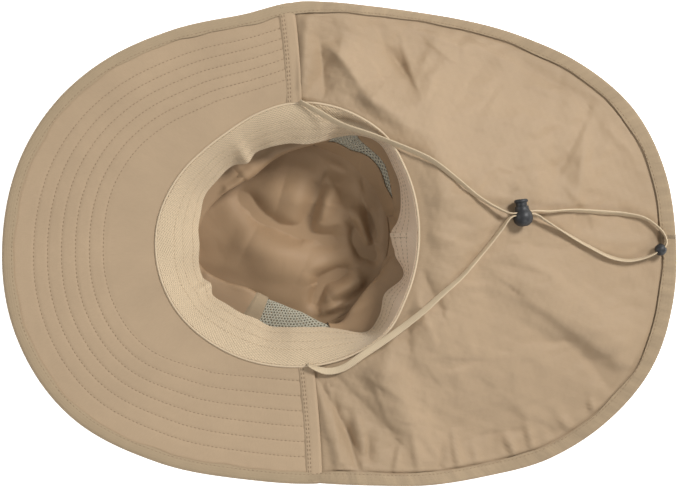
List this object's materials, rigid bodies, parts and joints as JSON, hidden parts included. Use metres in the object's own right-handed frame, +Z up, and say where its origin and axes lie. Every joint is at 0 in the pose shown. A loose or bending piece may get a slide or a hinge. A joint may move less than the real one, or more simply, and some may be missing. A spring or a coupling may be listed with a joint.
{
  "type": "fishing hat",
  "caption": "Wide-brimmed fishing hat with a soft neck flap, vented crown, sweatband and chin tape with a spring lock, lying crown down",
  "frame": {"origin": "centre of the flat outer face of the crown's tip, which the hat rests on, crown down", "axes": "+X to the back of the hat, over the neck flap; +Y to the wearer's left; +Z up, out of the head opening"},
  "size_m": [0.4769, 0.3405, 0.0762],
  "materials": {
    "brim_cloth": "matt woven polyester, padded",
    "flap_cloth": "matt woven nylon, crumpled",
    "binding": "folded woven tape",
    "inner_cloth": "matt woven nylon",
    "net": "knitted vent net",
    "sweatband": "knitted band with stitching",
    "tape": "flat woven tape",
    "black_plastic": "moulded, slightly glossy"
  },
  "bodies": {
    "hat": {"brim": "brim_cloth", "neck_flap": "flap_cloth", "edge_binding": "binding", "crown_tip": "inner_cloth", "crown_wall_front": "inner_cloth", "crown_wall_back": "inner_cloth", "mesh_panel_left": "net", "mesh_panel_right": "net", "sweatband": "sweatband", "chin_cord": "tape", "cord_lock_body": "black_plastic", "cord_end_bead": "black_plastic"},
    "button": {"cord_lock_button": "black_plastic"}
  },
  "joints": [
    {"name": "lock_button", "type": "slide", "parent": "hat", "child": "button", "axis": [0.1203, -0.9927, 0.0027], "range_m": [0, 0.0022], "stiffness_N_per_m": 300, "springref_m": -0.002}
  ]
}
